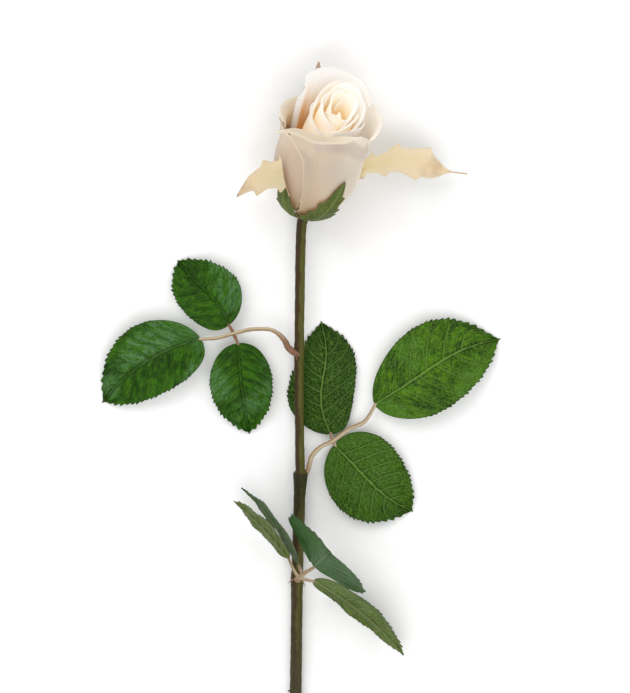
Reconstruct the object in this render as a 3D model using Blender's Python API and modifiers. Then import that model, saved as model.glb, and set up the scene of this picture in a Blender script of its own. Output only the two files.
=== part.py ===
"""A cut rose lying on a flat surface: stem, hip, sepals, petals, and three compound leaves.

Metres, +Z up.  The stem runs along +Y towards the flower, and the flower faces up and forward.
"""
import math

import bmesh
import bpy
from mathutils import Vector

MM = 0.001

# Flower: where it sits on the stem, how its axis leans, and how its cup is shaped.
FLOWER_BASE = Vector((2.3, 263.8, 14.0))
FLOWER_RISE = math.radians(27)
FLOWER_TURN = math.radians(15)
PETAL_THICKNESS = 0.6
PETAL_SLOPE = 1.3
INNER_SLOPE = 0.6
BASE_HEIGHT = 16.0
SEPAL_THICKNESS = 0.7
SEPAL_CLEARANCE = 3.1
SEPAL_ROWS = 20

# Cup profile of the outer petals: height along the flower's axis, and radius.
CUP = [(0, 3.6), (3, 9.2), (7, 14.2), (13, 18.6), (21, 21.8), (31, 23.5), (41, 23.2), (50, 23.4), (64, 24.0),
       (80, 24.5)]

# Stem: the centre line from the cut end to the flower, with a radius at each point.
STEM = [
    (-3.4, -55.0, 4.0, 3.9),
    (-3.0, -25.0, 4.5, 3.85),
    (-2.6, 10.0, 5.1, 3.8),
    (-2.1, 45.0, 5.9, 3.7),
    (-1.7, 56.0, 6.2, 3.8),
    (-1.6, 61.0, 6.3, 4.3),
    (-1.5, 66.0, 6.4, 3.75),
    (-0.9, 85.0, 6.9, 3.7),
    (-0.2, 108.0, 7.6, 3.75),
    (0.2, 117.0, 7.9, 4.1),
    (0.3, 120.5, 8.0, 4.25),
    (0.1, 122.0, 8.1, 3.1),
    (-0.3, 145.0, 8.9, 2.9),
    (-0.5, 180.0, 10.2, 3.0),
    (-0.5, 187.0, 10.5, 3.5),
    (-0.4, 193.0, 10.7, 3.1),
    (0.0, 225.0, 11.6, 3.2),
    (0.2, 240.0, 11.4, 3.25),
    (0.5, 251.0, 11.2, 3.25),
    (1.0, 257.4, 11.9, 3.3),
    (1.4, 260.3, 13.0, 3.4),
]
STEM_SIDES = 16

LEAF_THICKNESS = 0.6
LEAF_ROWS = 22
LEAF_COLUMNS = 6
PETAL_ROWS = 10
ROW_CROWDING = 1.4
PETAL_COLUMNS = 8
FLOOR_GAP = 0.42


def clear_scene():
    for obj in list(bpy.data.objects):
        bpy.data.objects.remove(obj, do_unlink=True)


def material(name, colour, roughness):
    made = bpy.data.materials.new(name)
    made.use_nodes = True
    shader = made.node_tree.nodes["Principled BSDF"]
    shader.inputs["Base Color"].default_value = (*colour, 1.0)
    shader.inputs["Roughness"].default_value = roughness
    shader.inputs["Metallic"].default_value = 0.0
    made.diffuse_color = (*colour, 1.0)
    return made


def petal_material(name, colour):
    return material(name, colour, 0.75)


def leaf_material(name, colour):
    return material(name, colour, 0.45)


def bark_material(name, colour):
    return material(name, colour, 0.6)


def flower_axes():
    """The flower's right, front and up directions."""
    up = Vector((
        math.sin(FLOWER_TURN) * math.cos(FLOWER_RISE),
        math.cos(FLOWER_TURN) * math.cos(FLOWER_RISE),
        math.sin(FLOWER_RISE),
    ))
    front = (Vector((0, 0, 1)) - up * up.z).normalized()
    return up.cross(front).normalized(), front, up


def in_flower(angle, radius, height):
    """A point given by the angle round the flower's axis, the radius, and the height."""
    right, front, up = flower_axes()
    return FLOWER_BASE + (right * math.cos(angle) + front * math.sin(angle)) * radius + up * height


def smooth_step(value):
    value = min(max(value, 0.0), 1.0)
    return value * value * (3 - 2 * value)


def on_curve(points, share):
    """A point on the smooth curve through the points, at a share of its number of spans."""
    spans = len(points) - 1
    place = min(max(share, 0.0), 1.0) * spans
    start = min(int(place), spans - 1)
    t = place - start
    before = points[max(start - 1, 0)]
    first = points[start]
    second = points[start + 1]
    after = points[min(start + 2, spans)]
    result = []
    for a, b, c, d in zip(before, first, second, after):
        result.append(0.5 * (2 * b + (c - a) * t + (2 * a - 5 * b + 4 * c - d) * t * t + (3 * b - a - 3 * c + d) * t ** 3))
    return result


def cup_radius(height):
    """Radius of the cup at a height along the flower's axis."""
    for (low, small), (high, large) in zip(CUP, CUP[1:]):
        if height <= high:
            return small + (large - small) * (height - low) / (high - low)
    return CUP[-1][1]


def above_floor(point):
    """Let a piece that droops rest on the floor."""
    if point.z < FLOOR_GAP + 0.6:
        point.z = FLOOR_GAP + 0.6 * math.exp((point.z - FLOOR_GAP - 0.6) / 0.6)
    return point


def shell(name, columns, rows, place, thickness, look, collection):
    """A grid whose vertices are moved by place(across, along), made solid."""
    bpy.ops.mesh.primitive_grid_add(x_subdivisions=columns, y_subdivisions=rows, size=2.0)
    obj = bpy.context.object
    obj.name = name
    obj.data.name = name
    for vertex in obj.data.vertices:
        across = vertex.co.x
        along = (vertex.co.y + 1) / 2
        vertex.co = place(across, along) * MM
    solid = obj.modifiers.new("thickness", "SOLIDIFY")
    solid.thickness = thickness * MM
    solid.offset = 0.0
    finish(obj, look, collection)
    return obj


def finish(obj, look, collection):
    obj.data.materials.clear()
    obj.data.materials.append(look)
    for owner in list(obj.users_collection):
        owner.objects.unlink(obj)
    collection.objects.link(obj)


def leaf(name, base, tip, face, half_width, look, collection, bow=3.0, sway=0.0, skew=0.0, fold=0.12, widest=0.78, blunt=0.55):
    """A toothed leaflet from its base to its tip, with its upper side towards face.

    bow lifts its middle, sway and skew bend it sideways, fold lifts its halves, and widest and blunt shape its outline.
    """
    base = Vector(base)
    tip = Vector(tip)
    line = tip - base
    along_line = line.normalized()
    normal = (Vector(face) - along_line * along_line.dot(Vector(face))).normalized()
    side = normal.cross(along_line)

    def place(across, along):
        share = math.sin(math.pi * min(max(along, 0.004), 0.992) ** widest) ** blunt * (1 - along ** 12)
        width = max(half_width * share, 0.45)
        row = round(along * LEAF_ROWS)
        tooth = 0.75 if row % 2 and 0.06 < along < 0.97 and abs(across) > 0.99 else 0.0
        rise = 4 * along * (1 - along)
        aside = sway * rise + skew * math.sin(2 * math.pi * along)
        point = base + line * along + along_line * tooth
        point += side * (aside + across * (width + tooth))
        point += normal * (bow * rise + abs(across) * width * fold * (1 - 0.9 * abs(across)))
        return above_floor(point)

    return shell(name, LEAF_COLUMNS, LEAF_ROWS, place, LEAF_THICKNESS, look, collection)


def petal(name, facing, half_angle, start, top, belly, rim, look, collection, curl=0.0, curl_from=50.0, free=-2.0,
          drop=0.1):
    """A petal round the flower's axis; each one lies outside its neighbour on the side of smaller angles.

    start and top are heights, belly and rim are the changes from the cup's radius there, and drop lowers the
    rim's corners.  curl turns the rim outwards above the height curl_from, across the petal from free on.
    """
    facing = math.radians(facing)
    half_angle = math.radians(half_angle)

    def place(across, along):
        along = along ** ROW_CROWDING
        rim_height = top * (1 - drop * abs(across) ** 3)
        height = start + (rim_height - start) * along
        spread = half_angle * (0.42 + 0.58 * math.sin(min(along / 0.6, 1.0) * math.pi / 2))
        angle = facing + across * spread
        inset = belly + (rim - belly) * smooth_step((along - 0.45) / 0.55)
        outside = PETAL_SLOPE * across * spread
        radius = cup_radius(height) + inset + outside
        turned_out = smooth_step((height - curl_from) / (top - curl_from)) ** 1.5
        radius += curl * turned_out * smooth_step((across - free) / 0.6)
        height -= outside * (1 - smooth_step(height / BASE_HEIGHT))
        return in_flower(angle, radius, height)

    return shell(name, PETAL_COLUMNS, PETAL_ROWS, place, PETAL_THICKNESS, look, collection)


def inner_petal(name, facing, half_angle, start, top, belly, rim, look, collection, drop=0.06):
    """A petal of the inner rings, with its own bowl instead of the cup's profile."""
    facing = math.radians(facing)
    half_angle = math.radians(half_angle)

    def place(across, along):
        along = along ** ROW_CROWDING
        height = start + (top * (1 - drop * across ** 2) - start) * along
        bowl = math.sqrt(1 - (1 - min(along / 0.55, 1.0)) ** 2)
        spread = half_angle * (0.5 + 0.5 * bowl)
        turned = INNER_SLOPE * across * spread
        radius = belly * (0.35 + 0.65 * bowl) + (rim - belly) * smooth_step((along - 0.5) / 0.5)
        return in_flower(facing + across * spread, radius + turned, height - turned * (1 - bowl))

    return shell(name, PETAL_COLUMNS, PETAL_ROWS, place, PETAL_THICKNESS, look, collection)


def sepal(name, path, half_width, look, collection, twist=0.0, hook=0.0):
    """A narrow toothed sepal that follows a path of heights, radii and angles from the flower's base."""

    def place(across, along):
        height, radius, degrees = on_curve(path, along)
        angle = math.radians(degrees)
        share = math.sin(math.pi * min(max(along, 0.02), 0.985) ** 0.85) ** 0.8
        width = max(half_width * share, 0.5)
        row = round(along * SEPAL_ROWS)
        if row % 4 == 3 and abs(across) > 0.99 and 0.3 < along < 0.9:
            width += 1.3
        offset = across * width
        right, front, up = flower_axes()
        turn = math.radians(twist) * smooth_step((along - 0.3) / 0.25)
        sideways = front * math.cos(angle) - right * math.sin(angle)
        outward = sideways * math.cos(turn) + up * math.sin(turn)
        hug = offset * offset / (2 * max(radius, 9.0)) * math.cos(turn)
        point = in_flower(angle, radius - hug, height)
        return point + outward * (offset + hook * smooth_step((along - 0.8) / 0.2))

    return shell(name, 4, SEPAL_ROWS, place, SEPAL_THICKNESS, look, collection)


def tube(name, points, sides, collection):
    """A bevelled curve with filled ends, through points with a radius each, as a mesh."""
    curve = bpy.data.curves.new(name, "CURVE")
    curve.dimensions = "3D"
    curve.bevel_depth = MM
    curve.bevel_resolution = max(sides // 4 - 1, 0)
    curve.use_fill_caps = True
    spline = curve.splines.new("POLY")
    spline.points.add(len(points) - 1)
    for target, (x, y, z, radius) in zip(spline.points, points):
        target.co = (x * MM, y * MM, z * MM, 1.0)
        target.radius = radius
    holder = bpy.data.objects.new(name + "_curve", curve)
    collection.objects.link(holder)
    graph = bpy.context.evaluated_depsgraph_get()
    mesh = bpy.data.meshes.new_from_object(holder.evaluated_get(graph))
    bpy.data.objects.remove(holder, do_unlink=True)
    welded = bmesh.new()
    welded.from_mesh(mesh)
    bmesh.ops.remove_doubles(welded, verts=welded.verts, dist=0.00001)
    bmesh.ops.recalc_face_normals(welded, faces=welded.faces)
    welded.to_mesh(mesh)
    welded.free()
    mesh.name = name
    obj = bpy.data.objects.new(name, mesh)
    collection.objects.link(obj)
    return obj


def smooth_points(points, count):
    return [tuple(on_curve(points, i / (count - 1))) for i in range(count)]


def make_stem(collection):
    obj = tube("stem", STEM, STEM_SIDES, collection)
    finish(obj, bark_material("stem_bark", (0.085, 0.07, 0.03)), collection)


def make_hip(collection):
    """The small swelling under the petals, turned about the flower's axis."""
    profile = [(0.0, 1.4), (3.2, 1.4), (4.4, 0.6), (4.9, -0.6), (4.4, -1.9), (3.5, -2.9), (0.0, -2.9)]
    mesh = bpy.data.meshes.new("hip")
    mesh.from_pydata([(x * MM, 0, z * MM) for x, z in profile], [(i, i + 1) for i in range(len(profile) - 1)], [])
    obj = bpy.data.objects.new("hip", mesh)
    collection.objects.link(obj)
    turned = obj.modifiers.new("turned", "SCREW")
    turned.axis = "Z"
    turned.steps = 20
    turned.render_steps = 20
    turned.use_merge_vertices = True
    turned.merge_threshold = 0.00001
    right, front, up = flower_axes()
    obj.rotation_mode = "QUATERNION"
    obj.rotation_quaternion = up.to_track_quat("Z", "Y")
    obj.location = FLOWER_BASE * MM
    finish(obj, leaf_material("hip_skin", (0.08, 0.12, 0.03)), collection)


def hugging(angle, top, turned=0.0):
    """The part of a sepal's path that lies against the cup, up to a height."""
    path = [(-1.0, 5.6, angle)]
    for share in (0.1, 0.25, 0.5, 1.0):
        height = top * share
        lower = 1.5 * (1 - smooth_step(height / BASE_HEIGHT))
        path.append((height - lower, cup_radius(height) + SEPAL_CLEARANCE, angle + turned * share))
    return path


def make_sepals(collection):
    green = leaf_material("sepal_green", (0.08, 0.15, 0.035))
    pale = petal_material("sepal_pale", (0.76, 0.62, 0.38))
    left = hugging(138, 22.0) + [(25.5, 28.0, 148), (20.0, 31.5, 156), (12.0, 35.0, 164), (2.5, 38.5, 170)]
    right = hugging(345, 30.0) + [(37.0, 33.5, 345), (41.8, 43.0, 345), (43.0, 56.0, 345), (42.5, 70.0, 345),
                                  (46.0, 84.0, 345)]
    back = hugging(247, 36.0) + [(45.0, 28.5, 248), (54.0, 31.5, 247), (66.0, 32.5, 245), (78.5, 31.5, 239)]
    sepal("sepal_front", hugging(66, 34.0, -19), 8.6, green, collection, hook=1.0)
    sepal("sepal_left", left, 6.6, pale, collection, twist=55)
    sepal("sepal_right", right, 7.4, pale, collection, twist=-62)
    sepal("sepal_back", back, 6.5, pale, collection)
    sepal("sepal_right_back", hugging(296, 34.0), 5.8, green, collection)


def make_petals(collection):
    outer = petal_material("petal_outer", (0.66, 0.53, 0.41))
    cream = petal_material("petal_cream", (0.90, 0.84, 0.72))
    inner = petal_material("petal_inner", (0.94, 0.87, 0.70))
    petal("outer_front", 88, 62, 2.0, 61.5, 0.0, 0.6, outer, collection, curl=2.6, curl_from=54.0)
    petal("outer_left", 165, 54, 2.0, 49.5, 0.0, 0.0, outer, collection, curl=4.2, curl_from=40.0, free=0.0)
    petal("outer_left_back", 216, 48, 2.0, 58.0, 0.0, 0.0, outer, collection, curl=4.5, curl_from=51.0)
    petal("outer_right_back", 325, 60, 2.0, 67.0, 0.0, 0.6, cream, collection, curl=4.0, curl_from=51.0)
    petal("outer_right", 25, 50, 2.0, 49.0, 0.0, 0.0, cream, collection, curl=1.2, curl_from=38.0, free=0.1, drop=0.2)
    petal("hood", 262, 72, 7.0, 79.5, -4.6, -4.9, cream, collection, curl=1.5, curl_from=60.0, drop=0.14)
    petal("middle_right", 8, 70, 7.0, 64.0, -4.6, -4.8, cream, collection, curl=0.8, curl_from=54.0, free=-0.2,
          drop=0.05)
    rings = [
        ("inner", 3, 12.0, 66.0, 14.5, 13.2, 128, 80),
        ("centre", 3, 17.0, 67.5, 11.0, 9.6, 40, 80),
        ("heart", 3, 22.0, 67.5, 7.2, 6.0, 95, 80),
    ]
    for title, count, start, top, belly, rim, first, half_angle in rings:
        for number in range(count):
            inner_petal(f"{title}_{number + 1}", first + number * 360 / count, half_angle, start,
                        top + 1.2 * number, belly, rim, inner, collection)
    bud = tube("bud", [(0, 0, 0, 0.9), (0, 0, 6, 2.3), (0, 0, 16, 2.9), (0, 0, 26, 2.7), (0, 0, 33, 2.0), (0, 0, 36, 1.0)],
               12, collection)
    right, front, up = flower_axes()
    bud.rotation_mode = "QUATERNION"
    bud.rotation_quaternion = up.to_track_quat("Z", "Y")
    bud.location = (FLOWER_BASE + up * 29.0) * MM
    finish(bud, inner, collection)


def make_petiole(name, main, cross, collection, cutters):
    """One grown piece: a stalk and the short stalks that leave it on both sides."""
    obj = tube(name, smooth_points(main, 12), 8, collection)
    finish(obj, bark_material(name + "_skin", (0.56, 0.42, 0.30)), collection)
    for number, points in enumerate(cross):
        branch = tube(f"{name}_branch_{number + 1}", smooth_points(points, 7), 8, cutters)
        branch.hide_render = True
        branch.display_type = "WIRE"
        joined = obj.modifiers.new(f"branch_{number + 1}", "BOOLEAN")
        joined.operation = "UNION"
        joined.solver = "EXACT"
        joined.object = branch


def make_left_leaf(collection, cutters):
    look = leaf_material("leaf_dark", (0.045, 0.13, 0.02))
    main = [(-4.5, 187.2, 10.7, 1.6), (-6.4, 188.4, 11.1, 1.4), (-9.0, 193.5, 11.3, 1.2), (-15.5, 199.0, 11.2, 1.1), (-26.0, 199.5, 10.4, 1.1),
            (-38.0, 196.8, 9.4, 1.05), (-46.0, 194.6, 8.6, 1.0), (-53.8, 194.2, 8.0, 0.9)]
    cross = [[(-38.5, 201.2, 9.1, 0.8), (-37.2, 198.5, 9.3, 0.9), (-36.6, 196.9, 9.4, 1.0), (-35.4, 194.5, 9.2, 0.9),
              (-34.3, 192.5, 8.9, 0.8)]]
    make_petiole("petiole_left", main, cross, collection, cutters)
    up = (0, 0, 1)
    leaf("leaflet_left_end", (-54.8, 194.2, 7.9), (-109.2, 159.0, 0.7), up, 19.8, look, collection, bow=5.0, sway=-5.8)
    leaf("leaflet_left_upper", (-39.1, 201.9, 9.0), (-67.6, 237.6, 1.2), up, 16.6, look, collection, bow=3.5, sway=-1.7,
         skew=-1.0)
    leaf("leaflet_left_lower", (-34.1, 191.7, 8.8), (-28.0, 141.9, 1.4), up, 16.9, look, collection, bow=3.5, sway=-1.0)


def make_right_leaf(collection, cutters):
    look = leaf_material("leaf_mid", (0.05, 0.17, 0.025))
    main = [(4.85, 122.7, 8.2, 1.2), (4.95, 125.0, 8.2, 1.25), (6.5, 129.5, 7.8, 1.3), (11.0, 134.3, 6.9, 1.2),
            (18.6, 138.4, 5.6, 1.15), (27.5, 144.7, 5.2, 1.1), (36.0, 149.0, 5.5, 1.1), (40.8, 157.2, 6.0, 0.9)]
    cross = [[(17.2, 140.9, 4.4, 0.8), (17.6, 139.9, 4.9, 0.9), (18.6, 138.5, 5.5, 1.0), (18.6, 137.8, 5.5, 0.9),
              (18.3, 137.0, 5.4, 0.8)]]
    make_petiole("petiole_right", main, cross, collection, cutters)
    up = (0, 0, 1)
    leaf("leaflet_right_end", (41.3, 158.0, 6.1), (110.6, 194.2, 0.7), up, 23.4, look, collection, bow=5.5, sway=4.0, skew=-1.2,
         widest=0.9, blunt=0.6)
    leaf("leaflet_right_upper", (17.0, 141.7, 4.1), (11.6, 204.0, 1.0), up, 18.3, look, collection, bow=0.6, sway=1.6,
         skew=2.6, fold=0.03)
    leaf("leaflet_right_lower", (18.9, 135.9, 5.3), (62.4, 99.0, 0.7), up, 22.0, look, collection, bow=4.0, sway=-3.0,
         skew=0.8)


def make_lower_leaf(collection, cutters):
    look = leaf_material("leaf_olive", (0.11, 0.18, 0.06))
    main = [(-1.3, 61.8, 11.1, 1.9), (-1.0, 62.6, 14.0, 1.5), (0.0, 63.6, 18.0, 1.2), (2.6, 65.6, 25.0, 1.1),
            (6.8, 68.7, 31.0, 0.9)]
    cross = [
        [(-4.3, 67.8, 18.6, 0.8), (-2.4, 65.2, 18.0, 0.9), (-0.3, 63.3, 17.2, 1.0), (3.0, 61.9, 16.7, 0.9),
         (6.9, 61.6, 16.2, 0.8)],
        [(-0.1, 69.2, 27.6, 0.8), (0.4, 67.2, 25.0, 0.9), (1.6, 65.0, 20.8, 1.0)],
    ]
    make_petiole("petiole_lower", main, cross, collection, cutters)
    leaf("leaflet_lower_left", (-4.7, 68.4, 18.8), (-36.0, 105.4, 20.0), (0.74, 0.62, -0.28), 13.5, look, collection,
         bow=1.5, fold=0.2)
    leaf("leaflet_lower_left_front", (-0.3, 69.9, 28.2), (-31.8, 112.8, 34.0), (0.76, 0.64, 0.2), 13.0, look, collection,
         bow=3.0, fold=0.2)
    leaf("leaflet_lower_end", (7.4, 69.2, 31.6), (21.0, 72.0, 67.5), (-0.69, -0.66, 0.27), 25.0, look, collection,
         bow=1.0, fold=-0.4)
    leaf("leaflet_lower_right", (7.7, 61.5, 16.0), (57.2, 20.4, 12.0), (0.60, 0.74, -0.34), 13.5, look, collection,
         bow=3.5, fold=0.25)


def centre_on_floor(collections):
    """Move everything together so that the box round it is centred on the origin and stands on z = 0."""
    bpy.context.view_layer.update()
    graph = bpy.context.evaluated_depsgraph_get()
    low = Vector((1e9, 1e9, 1e9))
    high = Vector((-1e9, -1e9, -1e9))
    for obj in collections[0].objects:
        shape = obj.evaluated_get(graph)
        mesh = shape.to_mesh()
        for vertex in mesh.vertices:
            place = shape.matrix_world @ vertex.co
            low = Vector(map(min, low, place))
            high = Vector(map(max, high, place))
        shape.to_mesh_clear()
    shift = Vector((-(low.x + high.x) / 2, -(low.y + high.y) / 2, -low.z))
    for collection in collections:
        for obj in collection.objects:
            obj.location = obj.location + shift


def main():
    clear_scene()
    rose = bpy.data.collections.new("cut_rose")
    cutters = bpy.data.collections.new("cutters")
    bpy.context.scene.collection.children.link(rose)
    bpy.context.scene.collection.children.link(cutters)
    make_stem(rose)
    make_hip(rose)
    make_sepals(rose)
    make_petals(rose)
    make_left_leaf(rose, cutters)
    make_right_leaf(rose, cutters)
    make_lower_leaf(rose, cutters)
    centre_on_floor([rose, cutters])


main()
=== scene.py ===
"""Looks of a cut rose lying on a pale surface: petals, sepals, hip, stem and toothed leaflets.

Shapes are worked out in millimetres from the part's own zero point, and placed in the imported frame
in metres. The flower's own directions are right, front and up; angles round it run from right (0)
over front (90) to left (180).
"""
import math

import bpy
import numpy as np
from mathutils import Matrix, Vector


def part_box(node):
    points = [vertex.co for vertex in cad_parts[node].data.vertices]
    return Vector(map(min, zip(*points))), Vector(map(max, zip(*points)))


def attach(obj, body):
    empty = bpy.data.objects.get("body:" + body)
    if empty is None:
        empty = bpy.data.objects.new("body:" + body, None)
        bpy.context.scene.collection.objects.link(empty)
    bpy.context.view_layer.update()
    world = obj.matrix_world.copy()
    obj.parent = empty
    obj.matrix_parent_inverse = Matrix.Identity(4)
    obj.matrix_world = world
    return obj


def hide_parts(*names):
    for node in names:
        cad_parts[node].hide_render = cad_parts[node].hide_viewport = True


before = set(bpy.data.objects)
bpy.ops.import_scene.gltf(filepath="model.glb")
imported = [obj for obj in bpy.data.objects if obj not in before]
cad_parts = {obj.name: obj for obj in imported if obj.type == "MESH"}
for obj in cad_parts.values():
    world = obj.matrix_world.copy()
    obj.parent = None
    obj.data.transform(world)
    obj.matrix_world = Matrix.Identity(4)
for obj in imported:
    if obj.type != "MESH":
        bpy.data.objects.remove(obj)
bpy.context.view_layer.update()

MM = 0.001

# The lowest corner of the stem's box, from the part's own zero point.
STEM_LOW = np.array((-7.2997, -55.0803, 0.2914))
ORIGIN = np.array(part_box("stem")[0]) / MM - STEM_LOW

# The surface under the rose, and the height over which thin pieces bend flat on it.
FLOOR = 0.56
FLATTEN = 0.6

# The flower's place and its own directions.
FLOWER_BASE = np.array((2.3, 263.8, 14.0))
FLOWER_RISE = math.radians(27)
FLOWER_TURN = math.radians(15)
UP = np.array((math.sin(FLOWER_TURN) * math.cos(FLOWER_RISE),
               math.cos(FLOWER_TURN) * math.cos(FLOWER_RISE),
               math.sin(FLOWER_RISE)))
FRONT = np.array((0, 0, 1)) - UP * UP[2]
FRONT /= np.linalg.norm(FRONT)
RIGHT = np.cross(UP, FRONT)

# How much a petal's radius grows for each radian across it, so that neighbours overlap.
PETAL_SLOPE = 1.3
INNER_SLOPE = 0.6
# Below this height the cup closes, and petals overlap in height too.
BASE_HEIGHT = 16.0
# The cup's height and radius, and how steeply it opens at its foot.
CUP = [(0, 3.6), (3, 9.2), (7, 14.2), (13, 18.6), (21, 21.8), (31, 23.5), (41, 23.2), (50, 23.4),
       (64, 24.0), (80, 24.5)]
CUP_FOOT_SLOPE = 2.4
SEPAL_CLEARANCE = 3.1

# Grids: rows along a piece, columns across it and how much the rows crowd towards its foot.
ROWS_PER_TOOTH = 8
LEAF_COLUMNS = 56
PETAL_GRID = (84, 72, 1.15)
INNER_GRID = (72, 60, 1.1)
SEPAL_GRID = (120, 28)

# Where the hood's left margin starts to fold over, and how far below the rim it is folded fully.
HOOD_FOLD = -0.84
HOOD_FOLD_FULL = 0.16

# The stem's centre line with its radius, from the cut end to the hip.
STEM = [
    (-3.4, -55.0, 4.0, 3.9), (-2.8, -25.0, 4.5, 3.85), (-2.2, 10.0, 5.1, 3.8), (-1.8, 45.0, 5.9, 3.7),
    (-1.7, 56.0, 6.2, 3.8), (-1.6, 61.0, 6.3, 4.3), (-1.5, 66.0, 6.4, 3.75), (-0.9, 85.0, 6.9, 3.7),
    (-0.2, 108.0, 7.6, 3.75), (0.2, 117.0, 7.9, 4.5), (0.3, 120.5, 8.0, 4.9), (0.1, 122.0, 8.1, 3.1),
    (-0.3, 145.0, 8.9, 2.9), (-0.5, 180.0, 10.2, 3.0), (-0.5, 187.0, 10.5, 3.5), (-0.4, 193.0, 10.7, 3.1),
    (0.0, 225.0, 11.6, 3.2), (0.2, 240.0, 11.4, 3.25), (0.5, 251.0, 11.2, 3.25), (1.0, 257.4, 11.9, 3.3),
    (1.9, 262.0, 13.4, 3.7),
]
# The looks' stem is slimmer than the CAD one and a little lower, both as shares of its radius.
STEM_SLIM = 0.84
STEM_LOWER = 0.05


# ---------------- shapes

def smooth(value):
    """0 below 0, 1 above 1, and a soft step between."""
    value = np.clip(value, 0.0, 1.0)
    return value * value * (3 - 2 * value)


def on_curve(points, share):
    """Points on the smooth curve through the given ones, at shares of its number of spans."""
    points = np.array(points, float)
    spans = len(points) - 1
    place = np.clip(share, 0.0, 1.0) * spans
    start = np.minimum(place.astype(int), spans - 1)
    t = (place - start)[..., None]
    a = points[np.maximum(start - 1, 0)]
    b = points[start]
    c = points[start + 1]
    d = points[np.minimum(start + 2, spans)]
    square = (2 * a - 5 * b + 4 * c - d) * t * t
    cube = (3 * b - a - 3 * c + d) * t ** 3
    return 0.5 * (2 * b + (c - a) * t + square + cube)


def cup_radius(height):
    """Radius of the cup at a height, smooth through the profile's points."""
    xs = np.array([x for x, y in CUP], float)
    ys = np.array([y for x, y in CUP], float)
    slope = np.gradient(ys, xs)
    slope[0] = CUP_FOOT_SLOPE
    height = np.clip(height, xs[0], xs[-1])
    i = np.clip(np.searchsorted(xs, height) - 1, 0, len(xs) - 2)
    step = xs[i + 1] - xs[i]
    t = (height - xs[i]) / step
    return ((2 * t ** 3 - 3 * t ** 2 + 1) * ys[i] + (t ** 3 - 2 * t ** 2 + t) * step * slope[i]
            + (3 * t ** 2 - 2 * t ** 3) * ys[i + 1] + (t ** 3 - t ** 2) * step * slope[i + 1])


def in_flower(angle, radius, height):
    """Points given by the angle round the flower's axis, the radius and the height."""
    to_right = (np.cos(angle) * radius)[..., None] * RIGHT
    to_front = (np.sin(angle) * radius)[..., None] * FRONT
    return FLOWER_BASE + to_right + to_front + height[..., None] * UP


def ripples(x, y, seed, scale):
    """Smooth irregular waves between about -1 and 1."""
    rng = np.random.default_rng(seed)
    total = np.zeros(np.broadcast(x, y).shape)
    for _ in range(5):
        turn, phase, other = rng.uniform(0, 2 * math.pi, 3)
        size = scale * rng.uniform(0.6, 1.7)
        line = (x * math.cos(turn) + y * math.sin(turn)) / size
        total = total + np.sin(line * 2 * math.pi + phase + 0.8 * np.sin(y / scale * 3 + other))
    return total / 3.2


def grid(rows, columns, crowd=1.0):
    """along runs 0 to 1 over the rows, and across -1 to 1 over the columns, closer at the margins."""
    along = np.linspace(0, 1, rows + 1)[:, None] ** crowd * np.ones((1, columns + 1))
    line = np.linspace(-1, 1, columns + 1)
    line = np.sign(line) * (1 - (1 - np.abs(line)) ** 1.25)
    across = line[None, :] * np.ones((rows + 1, 1))
    return along, across


def normals(points):
    """Unit directions square to a grid of points."""
    down = np.gradient(points, axis=0)
    over = np.gradient(points, axis=1)
    made = np.cross(down, over)
    size = np.linalg.norm(made, axis=-1, keepdims=True)
    return made / np.maximum(size, 1e-9)


def rest_on_floor(points):
    """Bends points that would sink into the surface flat, just above it."""
    low = FLOOR + FLATTEN
    flat = FLOOR + FLATTEN * np.exp((points[..., 2] - low) / FLATTEN)
    points[..., 2] = np.where(points[..., 2] < low, flat, points[..., 2])


def add_object(name, data):
    """A new object in the scene."""
    obj = bpy.data.objects.new(name, data)
    bpy.context.scene.collection.objects.link(obj)
    return obj


def new_piece(name, vertices, faces, looks, face_look, flat, values):
    """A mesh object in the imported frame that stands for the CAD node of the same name.

    Values that are fewer than the vertices are repeated for the others.
    """
    mesh = bpy.data.meshes.new(name)
    mesh.from_pydata(((vertices + ORIGIN) * MM).tolist(), [], faces)
    for look in looks:
        mesh.materials.append(look)
    mesh.polygons.foreach_set("material_index", np.array(face_look, np.int32))
    mesh.polygons.foreach_set("use_smooth", np.logical_not(np.array(flat, bool)))
    for title, numbers in values.items():
        attribute = mesh.attributes.new(title, "FLOAT", "POINT")
        attribute.data.foreach_set("value", np.resize(np.array(numbers, np.float32), len(vertices)))
    mesh.update()
    obj = add_object(name, mesh)
    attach(obj, "root")
    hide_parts(name)


def round_piece(name, vertices, faces, look, values):
    """A smooth piece with one look all over."""
    new_piece(name, vertices, faces, (look,), [0] * len(faces), [False] * len(faces), values)


def sheet(name, points, thickness, looks, values):
    """A thin closed body round a grid of points: one face, the other face, and a rim."""
    rows, columns = points.shape[:2]
    half = thickness * 0.5 * normals(points)
    index = np.arange(rows * columns).reshape(rows, columns)
    quads = np.stack([index[:-1, :-1], index[1:, :-1], index[1:, 1:], index[:-1, 1:]], -1).reshape(-1, 4)
    other = index.size
    loop = np.concatenate([index[0, :-1], index[:-1, -1], index[-1, :0:-1], index[:0:-1, 0]])
    after = np.roll(loop, -1)
    rim = np.stack([loop, after, after + other, loop + other], -1)
    faces = np.concatenate([quads, quads[:, ::-1] + other, rim])
    face_look = [0] * len(quads) + [1] * len(quads) + [2] * len(rim)
    flat = [False] * (2 * len(quads)) + [True] * len(rim)
    vertices = np.concatenate([(points + half).reshape(-1, 3), (points - half).reshape(-1, 3)])
    new_piece(name, vertices, faces.tolist(), looks, face_look, flat, values)


def ring_faces(rows, sides, first=0):
    """Vertex numbers of a stack of rings, and those of their neighbours one place round."""
    index = np.arange(rows * sides).reshape(rows, sides) + first
    return index, np.roll(index, -1, axis=1)


# ---------------- materials

def srgb(red, green, blue):
    """A display colour, 0 to 255 a channel, as the linear colour that shaders use."""
    channels = (red, green, blue)
    return tuple(((c / 255 + 0.055) / 1.055) ** 2.4 if c > 10 else c / 255 / 12.92 for c in channels)


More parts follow.
